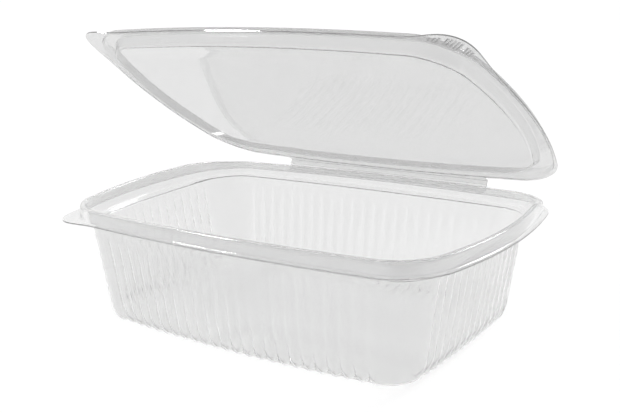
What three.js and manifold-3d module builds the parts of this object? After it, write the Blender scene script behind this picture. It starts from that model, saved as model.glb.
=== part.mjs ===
// Empty clear hinged-lid food container: a ribbed tub and a lid on a living hinge along the back.
// Millimetres. The origin is the centre of the tub's underside, X runs along the hinge, +Z is up,
// and the hinge is on the +Y side. The lid is drawn closed and then swung open to its rest angle.
import * as THREE from 'three';
import Module from 'manifold-3d';

const SHEET = 0.5; // thickness of the formed sheet

// Plan outlines: a rounded rectangle whose four sides bow outwards.
// half: half length in X at the corners, front/back: Y of the two long sides at the corners,
// bow: how far the side, front and back edges bow out at their middles, radius: corner radius.
const FLOOR = { half: 74.7, front: -43.8, back: 43.8, radius: 11.8, bow: [1.8, 4.4, 1.5] };
const WALL_TOP = { half: 80.5, front: -45.4, back: 49.5, radius: 14.5, bow: [3, 4.4, 2.5] };
const RIM = { half: 85.4, front: -50.3, back: 58.0, radius: 16, bow: [9.6, 4.6, 5.0] };
const PANEL = { half: 74.6, front: -33.6, back: 43.0, radius: 10, bow: [3.8, 4.3, 3.0] };

// Heights in the tub
const LIP_Z = 44.2; // top face of the tub's flat lip
const BEAD = 5.2; // height of the rim bead over the lip
const BEAD_DROP = 2.6; // the bead is lower than that along the hinge side
const LIP_DROP = 1.0; // and so is the lip
const DROP_FROM = 30; // where the drop begins, in Y
const SHELF = 2.6; // how far the inner shelf lies under the lip
const FLOOR_ROUND = 3.8; // rounding between floor and walls

// Vertical ribs: crests lie on the outline, valleys go inwards
const RIBS_LONG = 23;
const RIBS_SIDE = 13;
const RIB_DEPTH = 1.2;
const RIB_TOP_Z = 36.5;
const RIB_SAMPLES = 4;

// Hinge and lid
const HINGE_Y = 65.7;
const HINGE_Z = 45.1;
const HINGE_HALF = 52.5; // half width of the hinge strip
const HINGE_GAP = 0.3;
const TUB_FLANGE_ROOT = 60.0; // a hinge flange joins its lip from here back, in Y
const LID_FLANGE_ROOT = 61.6;
const LID_OPEN = THREE.MathUtils.degToRad(37.6);
const LID_RISE = 2.1; // lid lip above the hinge axis when shut
const LID_OVERHANG = 0.8; // lid lip outside the tub lip
const LID_BEAD = 3.1; // height of the lid's bead over its lip's underside
const LID_STEP = 2.2; // depth of the crease inside the lid's bead
const PANEL_DROP = 0.6;
const PLUG_INSET = 0.9; // crease inside the tub wall's corner

// Lift tabs: the lip grows outwards in a rounded ear at a front corner
const TAB_REACH = { left: 6.2, right: 8.8 };
const TAB_INSET = [4, 8]; // its middle, in from the corner of the plan
const TAB_SPAN = [7.5, 16]; // how fast it fades along X and along Y

// Points on plain rings: along a long side, a short side and a corner
const PLAIN = { long: 12, side: 8, corner: 12 };
const RIBBED = { long: RIBS_LONG * RIB_SAMPLES, side: RIBS_SIDE * RIB_SAMPLES, corner: 6 };

const inset = (plan, d) => ({
  ...plan,
  half: plan.half - d,
  front: plan.front + d,
  back: plan.back - d,
  radius: Math.max(plan.radius - d, 1.5),
});

const blend = (p, q, t) => {
  const mix = (a, b) => a + (b - a) * t;
  return {
    half: mix(p.half, q.half),
    front: mix(p.front, q.front),
    back: mix(p.back, q.back),
    radius: mix(p.radius, q.radius),
    bow: p.bow.map((b, i) => mix(b, q.bow[i])),
  };
};

const smoothstep = (t) => {
  const u = Math.min(Math.max(t, 0), 1);
  return u * u * (3 - 2 * u);
};

// The bow moves a point outwards most at the middle of its side.
function bowed(plan, x, y) {
  const mid = (plan.front + plan.back) / 2;
  const deep = (plan.back - plan.front) / 2;
  const u = x / plan.half;
  const v = (y - mid) / deep;
  const [side, front, back] = plan.bow;
  return [x + side * (1 - v * v) * u, y + (v < 0 ? front : back) * (1 - u * u) * v];
}

// One closed ring, anticlockwise from the front-left. Each point is [x, y, rib], with rib 0 on a
// crest and 1 in a valley. The outward direction is the third pair.
function ring(plan, count, ribCounts) {
  const { half, front, back, radius: r } = plan;
  const corners = [
    [half - r, front + r, -90],
    [half - r, back - r, 0],
    [-half + r, back - r, 90],
    [-half + r, front + r, 180],
  ];
  const points = [];
  corners.forEach(([cx, cy, from], i) => {
    const [px, py] = corners[(i + 3) % 4];
    const away = THREE.MathUtils.degToRad(from);
    const out = [Math.cos(away), Math.sin(away)];
    const n = i % 2 ? count.side : count.long;
    const ribs = ribCounts ? (i % 2 ? RIBS_SIDE : RIBS_LONG) : 0;
    for (let k = 0; k < n; k += 1) {
      const t = k / n;
      const wave = ribs ? (1 - Math.cos(2 * Math.PI * ribs * t)) / 2 : 0;
      points.push([px + (cx - px) * t + r * out[0], py + (cy - py) * t + r * out[1], wave, ...out]);
    }
    for (let k = 0; k < count.corner; k += 1) {
      const a = THREE.MathUtils.degToRad(from + (90 * k) / count.corner);
      points.push([cx + r * Math.cos(a), cy + r * Math.sin(a), 0, Math.cos(a), Math.sin(a)]);
    }
  });
  return points.map(([x, y, wave, nx, ny]) => [...bowed(plan, x, y), wave, nx, ny]);
}

// Level ring at height z. raise(x, y) changes the height along the ring, push(x, y) moves it out.
function level(plan, z, { raise = () => 0, push = () => 0 } = {}) {
  return ring(plan, PLAIN, false).map(([x, y, , nx, ny]) => {
    const d = push(x, y);
    return [x + nx * d, y + ny * d, z + raise(x, y)];
  });
}

// Ribbed ring: the valleys move in along a direction that tips from level to upright by `tip`.
function ribbed(plan, z, depth, tip) {
  return ring(plan, RIBBED, true).map(([x, y, wave, nx, ny]) => {
    const d = depth * wave;
    return [x - nx * d * Math.cos(tip), y - ny * d * Math.cos(tip), z + d * Math.sin(tip)];
  });
}

// Sew a list of rings into one closed surface, with a point at each end. Rings may have
// different numbers of points: they are matched by angle around the middle.
function shell(rings, start, end) {
  const positions = [...start];
  const index = [];
  const bases = rings.map((points) => {
    const base = positions.length / 3;
    points.forEach((p) => positions.push(...p));
    return base;
  });
  positions.push(...end);
  const turn = ([x, y]) => (Math.atan2(y, x) + 2.5 * Math.PI) % (2 * Math.PI);
  const rank = (points) => {
    const angles = points.map(turn);
    const first = angles.indexOf(Math.min(...angles));
    return points.map((_, i) => {
      const k = (first + i) % points.length;
      return { k, angle: angles[k] };
    });
  };
  const sew = (a, b, ai, bi) => {
    const p = rank(a);
    const q = rank(b);
    let i = 0;
    let j = 0;
    while (i < p.length || j < q.length) {
      const nextP = i < p.length - 1 ? p[i + 1].angle : 2 * Math.PI + p[(i + 1) % p.length].angle;
      const nextQ = j < q.length - 1 ? q[j + 1].angle : 2 * Math.PI + q[(j + 1) % q.length].angle;
      const pi = ai + p[i % p.length].k;
      const qj = bi + q[j % q.length].k;
      if (j >= q.length || (i < p.length && nextP <= nextQ)) {
        index.push(pi, ai + p[(i + 1) % p.length].k, qj);
        i += 1;
      } else {
        index.push(pi, bi + q[(j + 1) % q.length].k, qj);
        j += 1;
      }
    }
  };
  const sewSame = (n, ai, bi) => {
    for (let i = 0; i < n; i += 1) {
      const next = (i + 1) % n;
      index.push(ai + i, ai + next, bi + i);
      index.push(bi + i, ai + next, bi + next);
    }
  };
  for (let i = 0; i + 1 < rings.length; i += 1) {
    if (rings[i].length === rings[i + 1].length) sewSame(rings[i].length, bases[i], bases[i + 1]);
    else sew(rings[i], rings[i + 1], bases[i], bases[i + 1]);
  }
  const fan = (base, n, tip, flip) => {
    for (let i = 0; i < n; i += 1) {
      const next = (i + 1) % n;
      if (flip) index.push(tip, base + i, base + next);
      else index.push(tip, base + next, base + i);
    }
  };
  const last = rings.length - 1;
  fan(bases[0], rings[0].length, 0, false);
  fan(bases[last], rings[last].length, positions.length / 3 - 1, true);
  return { positions, index };
}

// Outward growth of the lip around the front corners named
const tabs = (plan, corners) => (x, y) =>
  corners.reduce((most, corner) => {
    const sign = corner === 'left' ? -1 : 1;
    const along = (x - sign * (plan.half - TAB_INSET[0])) / TAB_SPAN[0];
    const aside = (y - (plan.front + TAB_INSET[1])) / TAB_SPAN[1];
    return Math.max(most, TAB_REACH[corner] * Math.exp(-(along * along + aside * aside)));
  }, 0);

// Lowering towards the hinge side
const drops = (most) => (x, y) => -most * smoothstep((y - DROP_FROM) / (RIM.back - DROP_FROM));

function tubShell() {
  const drop = { raise: drops(BEAD_DROP) };
  const low = { raise: drops(LIP_DROP) };
  const tab = { push: tabs(RIM, ['left']), ...low };
  const rounding = [
    [0, 0],
    [36, 0.8],
    [78, 1],
  ];
  const skin = (out) => {
    // out is SHEET on the outer face of the walls and 0 on the inner face
    const foot = SHEET - out;
    const r = FLOOR_ROUND - foot;
    const edge = rounding.map(([deg, part]) => {
      const a = THREE.MathUtils.degToRad(deg);
      const plan = inset(FLOOR, FLOOR_ROUND - r * Math.sin(a));
      return ribbed(plan, FLOOR_ROUND - r * Math.cos(a), RIB_DEPTH * part, Math.PI / 2 - a);
    });
    const top = inset(WALL_TOP, -out);
    const wallZ = LIP_Z - SHELF - 0.4;
    const high = ribbed(blend(inset(FLOOR, foot), top, RIB_TOP_Z / wallZ), RIB_TOP_Z, RIB_DEPTH, 0);
    return [...edge, high, ribbed(top, wallZ - out * 0.4, 0, 0)];
  };
  const bead = LIP_Z + BEAD;
  const inner = [
    level(inset(RIM, 5.4), LIP_Z - SHELF),
    level(inset(RIM, 4.4), bead - 0.5, drop),
    level(inset(RIM, 3.9), bead, drop),
    level(inset(RIM, 2.4), bead, drop),
    level(inset(RIM, 1.9), bead - 0.5, drop),
    level(inset(RIM, 1.5), LIP_Z, low),
    level(RIM, LIP_Z, tab),
  ];
  const under = [
    level(RIM, LIP_Z - SHEET, tab),
    level(inset(RIM, 1.5 + SHEET), LIP_Z - SHEET, low),
    level(inset(RIM, 1.9 + SHEET), bead - 0.8, drop),
    level(inset(RIM, 2.75), bead - SHEET, drop),
    level(inset(RIM, 3.6), bead - SHEET, drop),
    level(inset(RIM, 4.4 - SHEET), bead - 0.8, drop),
    level(inset(RIM, 5.4 - SHEET), LIP_Z - SHELF - SHEET),
  ];
  const rings = [...skin(SHEET), ...under.reverse(), ...inner.reverse(), ...skin(0).reverse()];
  return shell(rings, [0, 0, 0], [0, 0, SHEET]);
}

function lidShell() {
  const lip = inset(RIM, -LID_OVERHANG);
  const plug = { ...inset(WALL_TOP, PLUG_INSET), bow: RIM.bow };
  const base = HINGE_Z + LID_RISE;
  const tab = { push: tabs(lip, ['left', 'right']) };
  const under = [
    level(lip, base, tab),
    level(inset(lip, 1.0 + SHEET), base),
    level(inset(lip, 1.3 + SHEET), base + LID_BEAD - 1),
    level(inset(lip, 2.3), base + LID_BEAD - SHEET),
    level(inset(lip, 6.1), base + LID_BEAD - SHEET),
    level(inset(lip, 6.5), base + LID_BEAD - 1),
    level(plug, base - LID_STEP),
    level(inset(plug, 0.9), base - LID_STEP - 0.1),
    level(PANEL, base - PANEL_DROP - SHEET),
  ];
  const top = [
    level(lip, base + SHEET, tab),
    level(inset(lip, 1.0), base + SHEET),
    level(inset(lip, 1.3), base + LID_BEAD - 0.5),
    level(inset(lip, 1.8), base + LID_BEAD),
    level(inset(lip, 6.5), base + LID_BEAD),
    level(inset(lip, 7.0), base + LID_BEAD - 0.6),
    level(inset(plug, SHEET + 0.15), base - LID_STEP + SHEET - 0.05),
    level(inset(plug, 1.1), base - LID_STEP + SHEET - 0.1),
    level(PANEL, base - PANEL_DROP),
  ];
  const mid = (PANEL.front + PANEL.back) / 2;
  const rings = [...under.reverse(), ...top];
  return shell(rings, [0, mid, base - PANEL_DROP - SHEET], [0, mid, base - PANEL_DROP]);
}

const wasm = await Module();
wasm.setup();
const { Manifold, Mesh } = wasm;

const solid = ({ positions, index }) =>
  new Manifold(new Mesh({ numProp: 3, vertProperties: new Float32Array(positions), triVerts: new Uint32Array(index) }));

// Flat flange from the back lip to the hinge line, joined to a shell
function withFlange(body, root, bottom) {
  const flange = Manifold.cube([2 * HINGE_HALF, HINGE_Y - HINGE_GAP - root, SHEET], false);
  return body.add(flange.translate([-HINGE_HALF, root, bottom]));
}

// Low upright strip at the end of a flange, between it and the hinge line
function withStrip(body, bottom, top) {
  const strip = Manifold.cube([2 * HINGE_HALF, SHEET, top - bottom], false);
  return body.add(strip.translate([-HINGE_HALF, HINGE_Y - HINGE_GAP - SHEET, bottom]));
}

// Swing a shut lid open about the hinge line
function swung(body, angle) {
  const deg = -THREE.MathUtils.radToDeg(angle);
  return body.translate([0, -HINGE_Y, -HINGE_Z]).rotate([deg, 0, 0]).translate([0, HINGE_Y, HINGE_Z]);
}

function meshOf(name, body, material) {
  const data = body.getMesh();
  const geometry = new THREE.BufferGeometry();
  const position = new Float32Array(data.numVert * 3);
  for (let i = 0; i < data.numVert; i += 1) {
    for (let k = 0; k < 3; k += 1) position[3 * i + k] = data.vertProperties[i * data.numProp + k];
  }
  geometry.setAttribute('position', new THREE.BufferAttribute(position, 3));
  geometry.setIndex(new THREE.BufferAttribute(data.triVerts, 1));
  geometry.computeVertexNormals();
  const mesh = new THREE.Mesh(geometry, material);
  mesh.name = name;
  return mesh;
}

const clear = new THREE.MeshStandardMaterial({
  name: 'clear_plastic',
  color: 0xeef2f3,
  roughness: 0.08,
  transparent: true,
  opacity: 0.3,
});

const group = new THREE.Group();
group.name = 'hinged_clear_container';
const tubFlange = LIP_Z - LIP_DROP - SHEET;
const tubPlate = withFlange(solid(tubShell()), TUB_FLANGE_ROOT, tubFlange);
const tub = withStrip(tubPlate, tubFlange, HINGE_Z - HINGE_GAP);
const lidFlange = HINGE_Z + LID_RISE;
const lidPlate = withFlange(solid(lidShell()), LID_FLANGE_ROOT, lidFlange);
const lid = swung(withStrip(lidPlate, HINGE_Z + HINGE_GAP, lidFlange + SHEET), LID_OPEN);
group.add(meshOf('tub', tub, clear));
group.add(meshOf('lid', lid, clear));

export default group;
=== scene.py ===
"""Clear hinged-lid food container: fine formed-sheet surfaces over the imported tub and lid."""
import math

import bpy
import numpy as np
from mathutils import Matrix, Vector


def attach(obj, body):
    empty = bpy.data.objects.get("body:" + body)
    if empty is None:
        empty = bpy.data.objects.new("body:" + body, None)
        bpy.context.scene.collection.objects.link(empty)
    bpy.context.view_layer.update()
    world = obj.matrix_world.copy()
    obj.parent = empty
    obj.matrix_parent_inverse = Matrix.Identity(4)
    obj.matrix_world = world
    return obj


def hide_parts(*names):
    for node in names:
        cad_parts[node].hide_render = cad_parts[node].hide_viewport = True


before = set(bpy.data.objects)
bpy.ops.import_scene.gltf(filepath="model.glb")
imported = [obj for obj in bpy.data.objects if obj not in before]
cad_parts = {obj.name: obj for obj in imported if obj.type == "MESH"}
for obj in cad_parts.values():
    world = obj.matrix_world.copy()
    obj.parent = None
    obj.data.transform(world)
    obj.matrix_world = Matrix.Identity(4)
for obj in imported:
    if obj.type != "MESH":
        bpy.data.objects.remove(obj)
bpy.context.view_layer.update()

# Lengths are in millimetres, and MM turns them into the scene's metres
MM = 0.001

# Plan outlines: rounded rectangles that bow outwards at their ends, front and back
FLOOR = dict(half=74.7, front=-43.8, back=43.8, radius=11.8, bow=(1.8, 4.4, 1.5))
WALL_TOP = dict(half=80.5, front=-45.4, back=49.5, radius=14.5, bow=(3.0, 4.4, 2.5))
RIM = dict(half=85.4, front=-50.3, back=58.0, radius=16.0, bow=(9.6, 4.6, 5.0))
PANEL = dict(half=74.6, front=-33.6, back=43.0, radius=10.0, bow=(3.8, 4.3, 3.0))
LEAST_RADIUS = 1.5

# Sheet, floor edge and shelf of the tub
SHEET = 0.5
FLOOR_ROUND = 3.8
FLOOR_BORDER = 3
SHELF = 2.6
SHELF_FALL = 0.4
SHELF_ROUND = 0.8

# Lip and rim bead of the tub: insets from the rim outline to the bead's four edges, inside to outside
LIP_Z = 44.2
LIP_DROP = 1.0
LIP_ROUND = 0.7
BEAD = 5.2
BEAD_DROP = 2.6
BEAD_EDGES = (5.4, 4.3, 2.0, 1.5)
BEAD_ROUND = 0.9
DROP_FROM = 30.0

# Ribs of the wall: their depth at each height, as a share of RIB_DEPTH, and scalloped feet
RIBS_LONG = 23
RIBS_SIDE = 13
RIB_DEPTH = 0.8
RIB_PROFILE = ((6, 0.9), (11, 0.8), (18, 0.78), (26, 0.76), (34, 0.74),
               (36.5, 0.66), (38.0, 0.36), (39.5, 0.06))
FOOT_DEPTH = 1.5
FOOT_ANGLES = (0, 5, 10, 16, 24, 34, 46, 58, 70, 82)
FOOT_FULL = 16
RIB_SHARPNESS = 2.0
FOOT_SHARPNESS = 1.0

# Hinge and lid
HINGE_Y = 65.7
HINGE_Z = 45.1
HINGE_HALF = 52.5
HINGE_SIDE_FROM = 40
HINGE_GAP = 0.3
ROLL_RADIUS = 0.42
LID_OPEN = math.radians(37.6)
LID_RISE = 2.1
LID_OVERHANG = 0.8
LID_BEAD = 3.1
LID_BEAD_EDGES = (6.7, 1.7, 1.0)
LID_STEP = 2.2
LID_SINK = 0.1
LID_ROUNDS = (0, 1.2, 0, 0.7, 0.9, 0.8, 0.6, 0)
PANEL_DROP = 0.6
PANEL_BORDER = 6
PLUG_INSET = 0.9
PLUG_FOOT = 0.6

# Lift tabs, by the sign of their corner's x, and the grip ridges under the lid's longer tab
TAB_REACH = {-1: 6.2, 1: 8.8}
TAB_INSET = (4, 8)
TAB_SPAN = (7.5, 16)
GRIPS = 10
GRIP_PITCH = 1.5
GRIP_HALF = 0.5
GRIP_RISE = 0.14
GRIP_GAP = 0.01
GRIP_START = 0.1
GRIP_LENGTH = 0.7
GRIP_CORNER = (60, -25)

# Fineness of the meshes
RIB_STEPS = 10
CORNER_STEPS = 26
ROUND_STEPS = 4
MOST_ROUND = 0.46
ROLL_STEPS = 12
SHARP_ANGLE = math.radians(50)

# Plastic: base colours, surface, faint unevenness, and the share of light let straight through
TUB_TINT = 0.87
LID_TINT = 0.73
PLASTIC_IOR = 1.58
PLASTIC_ROUGHNESS = 0.05
PLASTIC_CLEARNESS = 0.9
UNEVEN_SCALE = 25.0
UNEVEN_STRENGTH = 0.02
UNEVEN_DEPTH = 0.0005
PASSED = 0.995

# Studio: pale floor just under the tub, sky brightening towards SKY_AXIS, and two soft lamps
STAGE_Z = -0.3
STAGE_HALF = 6000
STAGE_COLOUR = 0.96
STAGE_ROUGHNESS = 0.9
SKY_AXIS = (-0.5, 0.5, 0.707)
SKY_DIM, SKY_BRIGHT = 0.15, 0.97
LAMPS = (
    ("front_light", (-0.66, -0.3, 0.69), 7, 0.82),
    ("back_light", (0.2, 0.77, 0.61), 16, 0.72),
)

# Camera, as fitted to the photograph
YAW, PITCH, ROLL = math.radians(37.24), math.radians(15.35), math.radians(-3.47)
FOCAL_PX, CENTRE_X, CENTRE_Y = 973.8, 303.51, 202.87
DISTANCE = 402.4
TARGET = (-0.89, 5.67, 46.72)
WIDTH, HEIGHT = 620, 413
SENSOR = 36


# Outlines
def inset(plan, d):
    """The same outline drawn in by d on every side."""
    return dict(half=plan["half"] - d, front=plan["front"] + d, back=plan["back"] - d,
                radius=max(plan["radius"] - d, LEAST_RADIUS), bow=plan["bow"])


def blend_plans(p, q, t):
    """Outline the share t of the way from p to q."""
    mixed = {k: p[k] + (q[k] - p[k]) * t for k in ("half", "front", "back", "radius")}
    mixed["bow"] = tuple(a + (b - a) * t for a, b in zip(p["bow"], q["bow"]))
    return mixed


def smoothstep(t):
    """Smooth rise from 0 to 1 over t from 0 to 1."""
    u = np.clip(t, 0.0, 1.0)
    return u * u * (3 - 2 * u)


def ring(plan):
    """Points of one closed outline: x, y, rib wave (0 crest, 1 valley) and outward direction x, y."""
    half, front, back, r = plan["half"], plan["front"], plan["back"], plan["radius"]
    corners = [(half - r, front + r), (half - r, back - r), (-half + r, back - r), (-half + r, front + r)]
    rows = []
    for i, (cx, cy) in enumerate(corners):
        px, py = corners[i - 1]
        away = math.radians(90 * (i - 1))
        out = (math.cos(away), math.sin(away))
        ribs = RIBS_SIDE if i % 2 else RIBS_LONG
        steps = ribs * RIB_STEPS
        t = np.arange(steps) / steps
        wave = (1 - np.cos(2 * np.pi * ribs * t)) / 2
        rows.append(np.c_[px + (cx - px) * t + r * out[0], py + (cy - py) * t + r * out[1],
                          wave, np.full(steps, out[0]), np.full(steps, out[1])])
        a = away + np.arange(CORNER_STEPS) / CORNER_STEPS * math.pi / 2
        rows.append(np.c_[cx + r * np.cos(a), cy + r * np.sin(a),
                          np.zeros(CORNER_STEPS), np.cos(a), np.sin(a)])
    pts = np.vstack(rows)
    mid, deep = (front + back) / 2, (back - front) / 2
    u = pts[:, 0] / half
    v = (pts[:, 1] - mid) / deep
    side, fore, aft = plan["bow"]
    pts[:, 0] += side * (1 - v * v) * u
    pts[:, 1] += np.where(v < 0, fore, aft) * (1 - u * u) * v
    return pts


# Rings in space
def level(plan, z, drop=0.0, tabs=()):
    """Ring at height z, lowered towards the hinge side by drop, with lift tabs on the signs given."""
    p = ring(plan)
    push = np.zeros(len(p))
    for sign in tabs:
        along = (p[:, 0] - sign * (plan["half"] - TAB_INSET[0])) / TAB_SPAN[0]
        aside = (p[:, 1] - (plan["front"] + TAB_INSET[1])) / TAB_SPAN[1]
        push = np.maximum(push, TAB_REACH[sign] * np.exp(-along ** 2 - aside ** 2))
    fall = drop * smoothstep((p[:, 1] - DROP_FROM) / (RIM["back"] - DROP_FROM))
    return np.c_[p[:, :2] + p[:, 3:5] * push[:, None], z - fall]


def ribbed(plan, z, depth, tip=0.0, sharpness=RIB_SHARPNESS):
    """Ring at height z whose rib valleys go depth deep, inwards and tipped up by the angle tip."""
    p = ring(plan)
    d = depth * p[:, 2] ** sharpness
    xy = p[:, :2] - p[:, 3:5] * (d * math.cos(tip))[:, None]
    return np.c_[xy, z + d * math.sin(tip)]


def soften(rings, radii):
    """Round the corners of a stack of rings, each by its radius."""
    out = [rings[0]]
    for i in range(1, len(rings) - 1):
        r = radii[i]
        if r <= 0:
            out.append(rings[i])
            continue
        p0, p1, p2 = rings[i - 1], rings[i], rings[i + 1]
        e0, e2 = p0 - p1, p2 - p1
        l0 = np.linalg.norm(e0, axis=1, keepdims=True)
        l2 = np.linalg.norm(e2, axis=1, keepdims=True)
        a = p1 + e0 * np.minimum(r / l0, MOST_ROUND)
        b = p1 + e2 * np.minimum(r / l2, MOST_ROUND)
        for k in range(ROUND_STEPS + 1):
            t = k / ROUND_STEPS
            out.append(a * (1 - t) ** 2 + p1 * 2 * t * (1 - t) + b * t * t)
    out.append(rings[-1])
    return out


def to_hinge(lip):
    """Carry the back of a lip out to the hinge line."""
    out = lip.copy()
    at_back = (np.abs(out[:, 0]) < HINGE_HALF) & (out[:, 1] > HINGE_SIDE_FROM)
    out[at_back, 1] = HINGE_Y - HINGE_GAP
    return out


def swing(points, angle):
    """Turn points of the shut lid about the hinge axis."""
    c, s = math.cos(angle), math.sin(angle)
    v, w = HINGE_Y - points[:, 1], points[:, 2] - HINGE_Z
    return np.c_[points[:, 0], HINGE_Y - v * c + w * s, HINGE_Z + v * s + w * c]


def tub_rings():
    """Upper face of the tub: floor, rounded floor edge, ribbed wall, shelf, bead and lip."""
    stack, radii = [], []

    def add(points, radius=0.0):
        stack.append(points)
        radii.append(radius)

    r = FLOOR_ROUND - SHEET
    add(ribbed(inset(FLOOR, FLOOR_ROUND + FLOOR_BORDER), SHEET, 0))
    for deg in FOOT_ANGLES:
        a = math.radians(deg)
        part = smoothstep(deg / FOOT_FULL)
        add(ribbed(inset(FLOOR, FLOOR_ROUND - r * math.sin(a)), FLOOR_ROUND - r * math.cos(a),
                   FOOT_DEPTH * part, math.pi / 2 - a, FOOT_SHARPNESS))
    wall_z = LIP_Z - SHELF - SHELF_FALL
    foot = inset(FLOOR, SHEET)
    for z, part in RIB_PROFILE:
        add(ribbed(blend_plans(foot, WALL_TOP, z / wall_z), z, RIB_DEPTH * part))
    bead = LIP_Z + BEAD
    foot_in, top_in, top_out, foot_out = (inset(RIM, d) for d in BEAD_EDGES)
    add(level(WALL_TOP, wall_z), SHELF_ROUND)
    add(level(foot_in, LIP_Z - SHELF), SHELF_ROUND)
    add(level(top_in, bead, BEAD_DROP), BEAD_ROUND)
    add(level(top_out, bead, BEAD_DROP), BEAD_ROUND)
    add(level(foot_out, LIP_Z, LIP_DROP), LIP_ROUND)
    add(to_hinge(level(RIM, LIP_Z, LIP_DROP, tabs=(-1,))))
    return soften(stack, radii)


def lid_rings():
    """Upper face of the shut lid: panel, inner crease, bead and lip."""
    lip = inset(RIM, -LID_OVERHANG)
    plug = dict(inset(WALL_TOP, PLUG_INSET), bow=RIM["bow"])
    top = HINGE_Z + LID_RISE + SHEET
    panel = top - PANEL_DROP - SHEET
    bead = top + LID_BEAD - SHEET
    top_in, top_out, foot_out = (inset(lip, d) for d in LID_BEAD_EDGES)
    stack = [
        level(inset(PANEL, PANEL_BORDER), panel),
        level(PANEL, panel),
        level(blend_plans(PANEL, plug, 0.5), top - (PANEL_DROP + LID_STEP) / 2 - LID_SINK),
        level(inset(plug, PLUG_FOOT), top - LID_STEP - LID_SINK),
        level(top_in, bead),
        level(top_out, bead),
        level(foot_out, top),
        to_hinge(level(lip, top, tabs=(-1, 1))),
    ]
    return soften(stack, LID_ROUNDS)


# Pieces
def add_mesh(name, verts, faces, smooth=True):
    """New object in the scene from corners in millimetres and faces."""
    mesh = bpy.data.meshes.new(name)
    mesh.from_pydata((np.asarray(verts, dtype=float) * MM).tolist(), [], faces)
    if smooth:
        mesh.polygons.foreach_set("use_smooth", [True] * len(mesh.polygons))
        mesh.set_sharp_from_angle(angle=SHARP_ANGLE)
    mesh.update()
    obj = bpy.data.objects.new(name, mesh)
    bpy.context.scene.collection.objects.link(obj)
    return obj


def sheet_mesh(name, rings):
    """Closed thin sheet: the stack of rings is its upper face, and the lower one lies SHEET away."""
    grid = np.array(rings)
    along = np.gradient(grid, axis=0)
    around = np.roll(grid, -1, axis=1) - np.roll(grid, 1, axis=1)
    normal = np.cross(along, around)
    normal /= np.maximum(np.linalg.norm(normal, axis=2, keepdims=True), 1e-9)
    other = grid - normal * SHEET
    m, n = grid.shape[:2]
    middles = [grid[0].mean(0)[None], other[0].mean(0)[None]]
    verts = np.vstack([grid.reshape(-1, 3), other.reshape(-1, 3)] + middles)
    near, far = 0, m * n
    last = (m - 1) * n
    faces = []
    for i in range(m - 1):
        for j in range(n):
            k = (j + 1) % n
            a, b, c, d = i * n + j, i * n + k, (i + 1) * n + k, (i + 1) * n + j
            faces.append((near + d, near + c, near + b, near + a))
            faces.append((far + a, far + b, far + c, far + d))
    for j in range(n):
        k = (j + 1) % n
        faces.append((far + last + j, far + last + k, near + last + k, near + last + j))
        faces.append((2 * m * n, near + j, near + k))
        faces.append((2 * m * n + 1, far + k, far + j))
    return add_mesh(name, verts, faces)


def bar(name, low, high, angle=0.0):
    """Plain bar between two corners, turned about the hinge axis by the angle."""
    verts = np.array([(x, y, z) for x in (low[0], high[0])
                      for y in (low[1], high[1]) for z in (low[2], high[2])])
    faces = [(0, 1, 3, 2), (4, 6, 7, 5), (0, 4, 5, 1), (2, 3, 7, 6), (0, 2, 6, 4), (1, 5, 7, 3)]
    return add_mesh(name, swing(verts, angle), faces, smooth=False)


def hinge_roll():
    """Folded crease on the hinge axis, which closes the gap between the two flanges."""
    verts, faces = [], []
    for x in (-HINGE_HALF, HINGE_HALF):
        for k in range(ROLL_STEPS):
            a = 2 * math.pi * k / ROLL_STEPS
            verts.append((x, HINGE_Y + ROLL_RADIUS * math.cos(a), HINGE_Z + ROLL_RADIUS * math.sin(a)))
    for k in range(ROLL_STEPS):
        n = (k + 1) % ROLL_STEPS
        faces.append((k, n, ROLL_STEPS + n, ROLL_STEPS + k))
    faces.append(tuple(reversed(range(ROLL_STEPS))))
    faces.append(tuple(range(ROLL_STEPS, 2 * ROLL_STEPS)))
    return add_mesh("hinge_crease", verts, faces)


def lid_grips():
    """Short diagonal ridges under the longer lift tab of the lid."""
    lip = inset(RIM, -LID_OVERHANG)
    base = HINGE_Z + LID_RISE
    plain, pushed = level(lip, base), level(lip, base, tabs=(1,))
    reach = np.linalg.norm(pushed - plain, axis=1)
    across = plain[:, 0] + plain[:, 1]
    front_right = (plain[:, 0] > GRIP_CORNER[0]) & (plain[:, 1] < GRIP_CORNER[1])
    run, side = np.array([1, -1, 0]) / math.sqrt(2), np.array([1, 1, 0]) / math.sqrt(2)
    section = ((-GRIP_HALF, -GRIP_GAP), (0, -GRIP_RISE), (GRIP_HALF, -GRIP_GAP))
    peak = across[reach.argmax()]
    verts, faces = [], []
    for k in range(-(GRIPS // 2), GRIPS // 2 + 1):
        at = np.where(front_right, np.abs(across - peak - k * GRIP_PITCH * math.sqrt(2)), np.inf).argmin()
        first = plain[at] + run * GRIP_START * reach[at]
        start = len(verts)
        for along in (0, reach[at] * GRIP_LENGTH):
            for u, w in section:
                verts.append(first + run * along + side * u + np.array([0, 0, w]))
        for i in range(3):
            n = (i + 1) % 3
            faces.append((start + n, start + 3 + n, start + 3 + i, start + i))
        faces.append((start + 2, start + 1, start))
        faces.append((start + 3, start + 4, start + 5))
    return add_mesh("lid_grips", swing(np.array(verts), LID_OPEN), faces, smooth=False)


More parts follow.
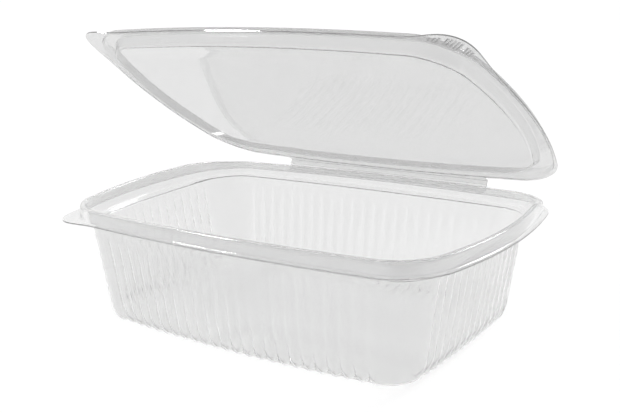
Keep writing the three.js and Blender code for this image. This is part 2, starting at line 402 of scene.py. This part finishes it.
# Material
def clear_plastic(name, tint):
    """Clear formed plastic with a faint unevenness, which lamp light and diffuse light pass straight."""
    mat = bpy.data.materials.new(name)
    mat.use_nodes = True
    nodes, links = mat.node_tree.nodes, mat.node_tree.links
    shader = nodes["Principled BSDF"]
    shader.inputs["Transmission Weight"].default_value = PLASTIC_CLEARNESS
    shader.inputs["IOR"].default_value = PLASTIC_IOR
    shader.inputs["Roughness"].default_value = PLASTIC_ROUGHNESS
    shader.inputs["Base Color"].default_value = (tint, tint, tint, 1)
    noise = nodes.new("ShaderNodeTexNoise")
    noise.inputs["Scale"].default_value = UNEVEN_SCALE
    bump = nodes.new("ShaderNodeBump")
    bump.inputs["Strength"].default_value = UNEVEN_STRENGTH
    bump.inputs["Distance"].default_value = UNEVEN_DEPTH
    links.new(noise.outputs["Fac"], bump.inputs["Height"])
    links.new(bump.outputs["Normal"], shader.inputs["Normal"])
    path = nodes.new("ShaderNodeLightPath")
    passed = nodes.new("ShaderNodeBsdfTransparent")
    passed.inputs["Color"].default_value = (PASSED, PASSED, PASSED, 1)
    surface = shader.outputs["BSDF"]
    for ray in ("Is Diffuse Ray", "Is Shadow Ray"):
        mix = nodes.new("ShaderNodeMixShader")
        links.new(path.outputs[ray], mix.inputs["Fac"])
        links.new(surface, mix.inputs[1])
        links.new(passed.outputs["BSDF"], mix.inputs[2])
        surface = mix.outputs["Shader"]
    links.new(surface, nodes["Material Output"].inputs["Surface"])
    return mat


def dress(obj, material, node):
    """Give a piece its plastic and the body that it rides on."""
    obj.data.materials.append(material)
    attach(obj, node)
    return obj


# Studio
def make_floor():
    """Plain matt floor that reaches far past the view."""
    corners = [(-1, -1), (1, -1), (1, 1), (-1, 1)]
    verts = [(x * STAGE_HALF, y * STAGE_HALF, STAGE_Z) for x, y in corners]
    obj = add_mesh("floor", verts, [(0, 1, 2, 3)], smooth=False)
    mat = bpy.data.materials.new("floor_paint")
    mat.use_nodes = True
    shader = mat.node_tree.nodes["Principled BSDF"]
    shader.inputs["Base Color"].default_value = (STAGE_COLOUR, STAGE_COLOUR, STAGE_COLOUR, 1)
    shader.inputs["Roughness"].default_value = STAGE_ROUGHNESS
    shader.inputs["Specular IOR Level"].default_value = 0.0
    obj.data.materials.append(mat)


def make_sky():
    """White surroundings whose brightness rises evenly towards SKY_AXIS."""
    world = bpy.data.worlds.new("studio")
    bpy.context.scene.world = world
    world.use_nodes = True
    nodes, links = world.node_tree.nodes, world.node_tree.links
    nodes["Background"].inputs["Color"].default_value = (1, 1, 1, 1)
    coords = nodes.new("ShaderNodeTexCoord")
    facing = nodes.new("ShaderNodeVectorMath")
    facing.operation = "DOT_PRODUCT"
    facing.inputs[1].default_value = SKY_AXIS
    spread = nodes.new("ShaderNodeMapRange")
    spread.inputs["From Min"].default_value = -1.0
    spread.inputs["To Min"].default_value = SKY_DIM
    spread.inputs["To Max"].default_value = SKY_BRIGHT
    links.new(coords.outputs["Generated"], facing.inputs[0])
    links.new(facing.outputs["Value"], spread.inputs["Value"])
    links.new(spread.outputs["Result"], nodes["Background"].inputs["Strength"])


def make_lamp(name, towards, spread_deg, strength):
    """Distant soft light that shines from the direction given."""
    light = bpy.data.lights.new(name, "SUN")
    light.angle = math.radians(spread_deg)
    light.energy = strength
    obj = bpy.data.objects.new(name, light)
    obj.rotation_euler = Vector(towards).to_track_quat("Z", "Y").to_euler()
    bpy.context.scene.collection.objects.link(obj)


def make_camera():
    """Camera at the photograph's angle and framing."""
    fwd = Vector((-math.sin(YAW) * math.cos(PITCH), math.cos(YAW) * math.cos(PITCH), -math.sin(PITCH)))
    right = Vector((math.cos(YAW), math.sin(YAW), 0))
    up = right.cross(fwd)
    c, s = math.cos(ROLL), math.sin(ROLL)
    right, up = right * c + up * s, up * c - right * s
    place = (Vector(TARGET) - fwd * DISTANCE) * MM
    cam = bpy.data.cameras.new("camera")
    cam.sensor_fit = "HORIZONTAL"
    cam.sensor_width = SENSOR
    cam.lens = FOCAL_PX / WIDTH * SENSOR
    cam.shift_x = (WIDTH / 2 - CENTRE_X) / WIDTH
    cam.shift_y = (CENTRE_Y - HEIGHT / 2) / WIDTH
    obj = bpy.data.objects.new("camera", cam)
    turn = Matrix((right, up, -fwd)).transposed()
    obj.matrix_world = Matrix.Translation(place) @ turn.to_4x4()
    bpy.context.scene.collection.objects.link(obj)
    bpy.context.scene.camera = obj


# The tub and the lid
tub_plastic = clear_plastic("tub_plastic", TUB_TINT)
lid_plastic = clear_plastic("lid_plastic", LID_TINT)
tub = dress(sheet_mesh("tub_sheet", tub_rings()), tub_plastic, "tub")
lid = dress(sheet_mesh("lid_sheet", [swing(p, LID_OPEN) for p in lid_rings()]), lid_plastic, "lid")
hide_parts("tub")
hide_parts("lid")

# The strips beside the hinge, its crease and the grips
strip_end = HINGE_Y - HINGE_GAP
dress(bar("tub_strip", (-HINGE_HALF, strip_end - SHEET, LIP_Z - LIP_DROP - SHEET),
          (HINGE_HALF, strip_end, HINGE_Z - HINGE_GAP)), tub_plastic, "tub")
dress(bar("lid_strip", (-HINGE_HALF, strip_end - SHEET, HINGE_Z + HINGE_GAP),
          (HINGE_HALF, strip_end, HINGE_Z + LID_RISE + SHEET), LID_OPEN), lid_plastic, "lid")
dress(hinge_roll(), tub_plastic, "tub")
dress(lid_grips(), lid_plastic, "lid")

# Floor, light and camera
make_floor()
bpy.context.scene.view_settings.view_transform = "Standard"
make_sky()
for lamp in LAMPS:
    make_lamp(*lamp)
make_camera()
